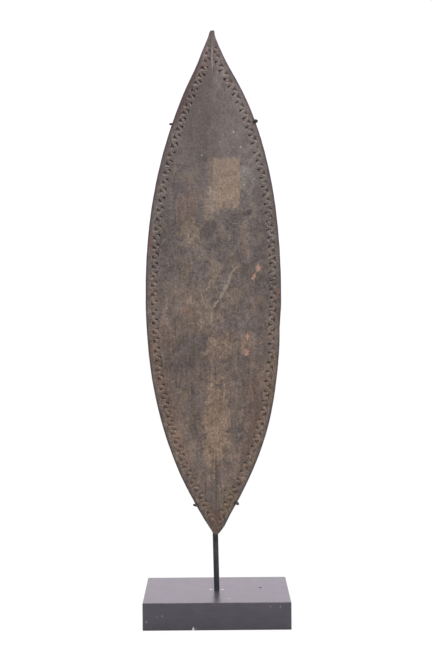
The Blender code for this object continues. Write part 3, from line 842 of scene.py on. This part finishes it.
def carved_border(colour, carved, grain, height, near):
    """Painted shade on the chips' walls that face down, red brown at the top and brown at
    the foot, light along the rubbed ridges, a painted highlight on the walls that face
    up, rust on the rim, and a dark edge of painted shade on the outward bevel."""
    # The colour of the painted shade in the chips
    chip_shade = layered(
        (52, 43, 42),
        ((84, 62, 51), span(height, 0.95, 0.42)),
        ((64, 42, 38), span(height, 1.00, 1.09)),
    )
    deep = times(carved.depth, span(height, 1.02, 1.10, 1.0, 2.2))
    # Painted shade on the walls that face down, stronger in deeper chips and near the top
    colour = layered(colour, (chip_shade, carved.grime, span(deep, 0.02, 0.60, 0.15, 0.92)))
    kept_light = calc("SUBTRACT", span(carved.depth, 0.0, 0.5, 1.0, 0.84), carved.shade)
    patchy = span(grain.mottle, 0.42, 0.62, 0.05, 1.0)
    # The rubbed tone: real wear on the crests, and also laid as a painted highlight on the walls that face
    # up
    rubbed = layered(
        (172, 156, 148),
        ((168, 140, 116), span(height, 0.80, 0.40)),
        ((176, 152, 134), span(height, 1.04, 1.09)),
    )
    smears = frayed(patches(near, RIM_SMEARS, 0.6), grain.mottle, 2.0)
    # Noise that breaks up the dark edge, which is painted shade on the outward bevel
    worn = span(noise(grain.point, 70.0, 3.0), 0.36, 0.56, 0.55, 1.0)
    dark_edge = layered((70, 65, 66), ((78, 64, 60), span(grain.hue, 0.42, 0.60)))
    return layered(
        scaled(colour, kept_light),
        (rubbed, carved.crest, patchy, 0.62),
        # Painted highlight on the walls that face up
        (rubbed, carved.ledge, patchy, 0.50),
        ((124, 84, 68), smears, carved.rim, 0.60),
        # Painted shade along the outward bevel
        (dark_edge, carved.edge, worn, 0.85),
    )


def scratches(point):
    """The share of the long scratches, a patch along each run of their chains."""
    runs = []
    for chain, half_widths in SCRATCHES:
        for (x1, z1), (x2, z2), wide in zip(chain, chain[1:], half_widths):
            tall = math.hypot(x2 - x1, z2 - z1) / 2 + 0.001
            turn = math.degrees(math.atan2(x2 - x1, z2 - z1))
            runs.append(((x1 + x2) / 2, (z1 + z2) / 2, wide, tall, turn))
    return patches(point, runs, 0.4)


def fine_marks(colour, grain, lively, face, near):
    """Light specks, pits, scratches, the keel's rub, chips of fresh wood, dark lines
    and pinholes. Also gives what is sunk into the wood, with how deep."""
    scattered = specks(grain.point, 150.0, 0.22, 0.93)
    placed = patches(near, [(x, z, size, size, 0) for x, z, size in LIGHT_SPECKS], 0.5)
    pits = specks(grain.point, 240.0, 0.30, 0.88)
    hairs = hairlines(face)
    near_grain = shift_point(face, 120.0, 0.004, 3.0)
    worn_through = span(grain.mottle, 0.30, 0.52, 0.35, 1.0)
    bare = patches(shift_point(face, 150.0, 0.009, 4.0), FRESH_CHIPS, 0.35)
    fresh = layered((160, 112, 88), ((194, 160, 142), span(grain.mottle, 0.36, 0.62)))
    holes = [(x, z, size, size * 1.3, 0) for x, z, size in PINHOLES]
    colour = layered(
        colour,
        ((184, 174, 168), any_of([scattered, placed]), 0.80),
        ((58, 50, 48), pits, 0.60),
        ((146, 139, 130), hairs, lively, 0.60),
        ((153, 138, 123), scratches(near_grain), worn_through, 0.80),
        ((172, 154, 150), patch(near_grain, *KEEL_RUB, 0.4), 0.60),
        (fresh, bare, 0.72),
        ((56, 48, 46), patches(near_grain, DARK_LINES, 0.6), 0.55),
        ((28, 24, 24), patches(face, holes, 0.3)),
    )
    return colour, ((pits, 0.5), (hairs, 0.3), (bare, 0.9))


def wood_finish():
    """Old hardwood in a worn, greyish brown patina. The placed marks read a point that
    is carried off sideways on the plain back."""
    made, tree, shader, point = new_finish("aged_shield_wood")
    _, y, height = parts_of(point)
    behind = calc("GREATER_THAN", y, BACK_Y - NEAR_BACK)
    carried = fed("CombineXYZ", {0: times(behind, CARRIED_OFF)})[0]
    face = vector_calc("ADD", point, carried)
    near = shift_point(face, 90.0, 0.006, 3.0)
    lively = span(height, 1.02, 0.74, 0.55, 1.0)
    grain = SimpleNamespace(point=point, **{
        name: noise(stretched(point, (1.0, 1.0, upright)), *values)
        for name, (upright, *values) in WOOD_NOISES.items()
    })
    carved = SimpleNamespace(**{
        name: add(tree, "Attribute", attribute_name=name).outputs["Fac"] for name in CARVING_MARKS
    })

    colour = patina(grain, height, lively, face, near)
    colour = carved_border(colour, carved, grain, height, near)
    colour, sunk_marks = fine_marks(colour, grain, lively, face, near)
    rough = calc("ADD", span(grain.clouds, 0.30, 0.75, 0.50, 0.64), times(carved.depth, 0.15))
    relief = calc("ADD", times(grain.fibre, 0.35), times(grain.mottle, 0.60))
    for mark, sunk in sunk_marks:
        relief = calc("SUBTRACT", relief, times(mark, sunk))
    join(tree, shader, colour, rough, relief, distance=0.0006, gleam=0.30)
    return made


# The painted stand

# Marks on the block's front: x, z, half width, half height, turn in degrees
BLOCK_SPECKS = (
    (-0.1358, 0.0172, 0.0016, 0.0018, 0), (-0.1053, 0.0285, 0.0016, 0.0018, 0),
    (-0.1153, 0.0260, 0.0011, 0.0012, 0), (0.1026, 0.0452, 0.0015, 0.0012, 0),
    (0.1218, 0.0445, 0.0009, 0.0028, 0), (-0.0390, 0.0040, 0.0010, 0.0012, 0),
)

# On the block's top: a small dent, a smudge, and a ring of glue about the rod, with
# its half sizes across and deep
DENT = (0.0875, 0.0090, BASE_HEIGHT)
TOP_SMUDGE = (0.0234, -0.0540, BASE_HEIGHT)
GLUE_RING = (0.0150, 0.0034)

# The bare triangle at the chip: half its width at the foot, how fast it narrows, and
# how far it reaches back from the front
BARE_HALF_WIDTH, BARE_NARROWS, BARE_DEPTH = 0.0036, 0.42, 0.0055
# How wide the pale line along the arrises is, rubbed paint and painted highlight
LIT_AND_RUBBED_WIDTH = 0.0013


def lit_and_rubbed_arrises(point):
    """1 where a point lies within a small distance of two faces of the block at once,
    broken up by noise: the middle one of its depths below the three pairs of faces.
    The pale line it makes is partly rubbed paint and partly a painted highlight along
    the arrises."""
    half_size = (BASE_WIDTH / 2, BASE_DEPTH / 2, BASE_HEIGHT / 2)
    from_middle = vector_calc("SUBTRACT", point, (0.0, 0.0, BASE_HEIGHT / 2))
    depths = parts_of(vector_calc("SUBTRACT", half_size, vector_calc("ABSOLUTE", from_middle)))
    total, least, most = (folded(way, depths) for way in ("ADD", "MINIMUM", "MAXIMUM"))
    near = span(calc("SUBTRACT", calc("SUBTRACT", total, least), most), LIT_AND_RUBBED_WIDTH, 0.0)
    return times(near, span(noise(point, 90.0, 4.0, 0.6), 0.42, 0.66))


def glue_ring(point, z):
    """A pale broken ring on the block's top, where the length of (x, y), each over the
    ring's half size, is about 0.9."""
    on_top = calc("GREATER_THAN", z, BASE_HEIGHT - 0.001)
    away = vector_calc("LENGTH", stretched(point, (1.0 / GLUE_RING[0], 1.0 / GLUE_RING[1], 0.0)))
    ring = times(span(away, 1.06, 0.98), span(away, 0.64, 0.84), on_top)
    return times(ring, span(noise(point, 260.0), 0.35, 0.55, 0.45, 1.0))


def bare_triangle(point, y, z):
    """Bare wood at the chip, where |x| plus the narrowing times z is less than the
    half width."""
    aside = calc("ABSOLUTE", calc("SUBTRACT", parts_of(point)[0], CHIP_X))
    slope = calc("MULTIPLY_ADD", z, BARE_NARROWS, aside)
    near_front = calc("LESS_THAN", y, BARE_DEPTH - BASE_DEPTH / 2)
    return times(span(slope, BARE_HALF_WIDTH, BARE_HALF_WIDTH - 0.0007), near_front)


def block_finish():
    """Satin black paint on the block: faint brushed lines along its length, dust and
    specks, a dent without gloss, arrises pale with rubbing and a painted highlight, a
    ring of glue and a bare chip."""
    made, tree, shader, point = new_finish("satin_block_paint")
    _, y, z = parts_of(point)
    frayed_point = shift_point(point, 260.0, 0.0016)
    haze = noise(stretched(point, (1.0, 1.0, 1.6)), 34.0, 5.0, 0.65)
    grain = noise(stretched(point, (0.05, 1.0, 1.0)), 420.0, 3.0, 0.6)
    dent = span(vector_calc("DISTANCE", frayed_point, DENT), 0.0046, 0.0018)
    smudge = span(vector_calc("DISTANCE", frayed_point, TOP_SMUDGE), 0.0062, 0.0008)
    on_front = calc("LESS_THAN", y, 0.001 - BASE_DEPTH / 2)

    colour = layered(
        (51, 52, 58),
        ((60, 61, 67), span(haze, 0.35, 0.70)),
        ((86, 84, 91), span(grain, 0.35, 0.70, 0.0, 0.12)),
        ((150, 146, 148), specks(point, 160.0, 0.24, 0.955), 0.5),
        ((160, 158, 164), patches(frayed_point, BLOCK_SPECKS, 0.5), on_front, 0.5),
        ((170, 166, 170), smudge, 0.24),
        ((40, 38, 40), dent, 0.8),
        # Pale arrises: rubbed paint and a painted highlight
        ((172, 168, 176), lit_and_rubbed_arrises(point), 0.42),
        ((210, 207, 211), glue_ring(point, z), 0.9),
        ((228, 226, 226), bare_triangle(frayed_point, y, z)),
    )
    rough = calc("MULTIPLY_ADD", dent, 0.5, span(haze, 0.3, 0.75, 0.34, 0.42))
    relief = calc("ADD", times(grain, 0.6), times(noise(point, 900.0, 2.0), 0.4))
    relief = calc("SUBTRACT", relief, times(dent, 2.0))
    join(tree, shader, colour, rough, relief, distance=0.00012, gleam=1.0)
    tree.links.new(span(dent, 0.0, 1.0, 0.55, 0.0), shader.inputs["Coat Weight"])
    shader.inputs["Coat Roughness"].default_value = 0.25
    shader.inputs["Specular Tint"].default_value = (1.0, 0.84, 1.0, 1.0)
    return made


def steel_finish(name, shade, rough, gleam):
    """Black paint on steel: slight orange-peel, dust and worn-through specks."""
    made, tree, shader, point = new_finish(name)
    haze = noise(point, 120.0, 4.0, 0.6)
    colour = layered(
        shade,
        (tuple(value + 16 for value in shade), span(haze, 0.35, 0.70)),
        ((110, 104, 102), specks(point, 420.0, 0.28, 0.93), 0.5),
    )
    gloss = span(haze, 0.3, 0.7, rough - 0.05, rough + 0.08)
    join(tree, shader, colour, gloss, noise(point, 700.0, 2.0), distance=0.00010, gleam=gleam)
    return made


# The stand's round bars


def rod_x(z):
    """The rod bows to the left as a half sine between its socket and the upper arm."""
    return -ROD_BOW * np.sin(math.pi * (z - BASE_HEIGHT) / (height_z(UPPER_ARM_DOWN) - BASE_HEIGHT))


def make_rod(finish):
    """The upright: straight in its socket, then slightly bowed."""
    top = height_z(UPPER_ARM_DOWN) + ROD_ABOVE_ARM
    z = np.concatenate(([BASE_HEIGHT - ROD_SOCKET], np.linspace(BASE_HEIGHT, top, 61)))
    x = np.where(z > BASE_HEIGHT, rod_x(z), 0.0)
    path = np.stack((x, np.zeros(len(z)), z), axis=-1)[::-1]
    return bar("round_rod", path, ROD_RADIUS, finish, sides=40)


def rounded(corners, radius, steps=7):
    """A chain of straight runs with an arc of that radius inside each corner, swept by
    blending its start and end spokes with sines."""
    path = [corners[0]]
    for before, corner, after in zip(corners, corners[1:], corners[2:]):
        back, ahead = (before - corner).normalized(), (after - corner).normalized()
        half = back.angle(ahead) / 2
        centre = corner + (back + ahead).normalized() * radius / math.sin(half)
        start = corner + back * radius / math.tan(half) - centre
        end = corner + ahead * radius / math.tan(half) - centre
        sweep = start.angle(end)
        for part in (step / steps for step in range(steps + 1)):
            spoke = start * math.sin((1 - part) * sweep) + end * math.sin(part * sweep)
            path.append(centre + spoke / math.sin(sweep))
    path.append(corners[-1])
    return np.array([list(point) for point in path])


def hook_corners(hook, side):
    """From behind the board, round its edge, to the tip on the face."""
    down, bend_drop, tip_drop, overlap = hook
    at_bend = down + bend_drop / SHIELD_LENGTH
    at_tip = at_bend + tip_drop / SHIELD_LENGTH
    clear = (WIRE_RADIUS + GAP) / math.cos(math.atan(float(edge_slope(down, side))))
    x, z = from_edge(np.array(at_bend), FRONT_BEVEL, side)
    front = BACK_Y - float(face_height(x, down_at(z))) - HOOK_CLEAR - WIRE_RADIUS
    return [
        Vector((float(side_x(down, side)) + side * clear, ARM_Y, height_z(down))),
        Vector((float(side_x(at_bend, side)) + side * clear, front, height_z(at_bend))),
        Vector((float(side_x(at_tip, side)) - side * overlap, front, height_z(at_tip))),
    ]


def make_bracket(name, hooks, finish):
    """One bent wire: an arm behind the board with a hook round each edge."""
    corners = hook_corners(hooks[-1], -1)[::-1] + hook_corners(hooks[1], 1)
    return bar(name, rounded(corners, WIRE_BEND), WIRE_RADIUS, finish, sides=24)


# Put it together

wood = wood_finish()
block_paint = block_finish()
rod_paint = steel_finish("satin_rod_paint", (55, 54, 59), rough=0.46, gleam=0.30)
wire_paint = steel_finish("matt_wire_paint", (46, 44, 46), rough=0.46, gleam=0.45)

for node, piece, slot in (
    ("shield", make_shield(wood), "shield_wood"),
    ("stand_rod", make_rod(rod_paint), "rod_paint"),
    ("upper_bracket", make_bracket("upper_hooks", UPPER_HOOKS, wire_paint), "wire_paint"),
    ("lower_bracket", make_bracket("lower_hooks", LOWER_HOOKS, wire_paint), "wire_paint"),
):
    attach(piece, "root")
    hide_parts(node)

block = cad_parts["base_block"]
block.data.materials.clear()
block.data.materials.append(block_paint)


# Floor, light and camera

FLOOR_REACH = 40.0
FLOOR_GLOW, SEEN_GLOW = 1.08, 0.88
SEEN_WHITE, LIGHT_BEHIND, LIGHT_BEFORE = 1.09, 1.3, 0.30
WHITE, VIOLET_WHITE = (1.0, 1.0, 1.0, 1.0), (1.02, 0.945, 1.03, 1.0)


def make_floor():
    """A wide pale floor, which the camera sees as nearly white."""
    mesh = bpy.data.meshes.new("pale_floor")
    corners = [(x * FLOOR_REACH, y * FLOOR_REACH, 0.0) for x, y in ((-1, -1), (1, -1), (1, 1), (-1, 1))]
    mesh.from_pydata(corners, [], [(0, 1, 2, 3)])
    made = put("pale_floor", mesh)
    finish, tree, shader, _ = new_finish("pale_floor")
    shader.inputs["Base Color"].default_value = (0.55, 0.55, 0.55, 1.0)
    shader.inputs["Roughness"].default_value = 0.9
    shader.inputs["Specular IOR Level"].default_value = 0.0
    white = add(tree, "Emission", {"Color": WHITE, "Strength": FLOOR_GLOW}).outputs[0]
    share = times(add(tree, "LightPath").outputs["Is Camera Ray"], SEEN_GLOW)
    both = fed("MixShader", {0: share, 1: shader.outputs[0], 2: white})[0]
    tree.links.new(both, tree.nodes["Material Output"].inputs["Surface"])
    mesh.materials.append(finish)


def soft_light(name, place, target, size, power):
    """A rectangular soft light that faces a target."""
    data = bpy.data.lights.new(name, "AREA")
    data.shape = "RECTANGLE"
    data.size, data.size_y = size
    data.energy = power
    made = put(name, data)
    made.location = place
    made.rotation_euler = (Vector(target) - Vector(place)).to_track_quat("-Z", "Y").to_euler()


def make_world():
    """A white surround. What it sheds on things is brighter behind than before them,
    and slightly violet low down behind, where the block's top mirrors it."""
    world = bpy.data.worlds.new("white_surround")
    world.use_nodes = True
    tree = world.node_tree
    _, y, z = parts_of(add(tree, "TexCoord").outputs["Generated"])
    shed = span(y, -0.6, 0.6, LIGHT_BEFORE, LIGHT_BEHIND)
    on_view = add(tree, "LightPath").outputs["Is Camera Ray"]
    level = fed("Mix", {0: on_view, 2: shed, 3: SEEN_WHITE}, data_type="FLOAT")[0]
    low_behind = times(span(y, 0.2, 0.7), span(z, 0.65, 0.40))
    background = tree.nodes["Background"].inputs
    tree.links.new(level, background["Strength"])
    tree.links.new(mixed(low_behind, WHITE, VIOLET_WHITE), background["Color"])
    bpy.context.scene.world = world


def make_camera():
    """A level camera before the shield, rolled a little, its frame slid to the view."""
    data = bpy.data.cameras.new("eye")
    data.lens = FOCAL_PIXELS / PICTURE_HEIGHT * data.sensor_width
    data.shift_x, data.shift_y = SLIDE_RIGHT, SLIDE_UP
    made = put("eye", data)
    roll = math.radians(ROLL_DEGREES)
    right = Vector((math.cos(roll), 0.0, -math.sin(roll)))
    up = Vector((math.sin(roll), 0.0, math.cos(roll)))
    turn = Matrix((right, up, Vector((0.0, -1.0, 0.0)))).transposed()
    made.matrix_world = Matrix.Translation(EYE) @ turn.to_4x4()
    bpy.context.scene.camera = made


make_floor()
make_world()
soft_light("key_light", place=(0.5, -2.1, 3.3), target=(0.0, 0.0, 0.65), size=(1.6, 0.9), power=90.0)
make_camera()
bpy.context.scene.view_settings.view_transform = "Standard"
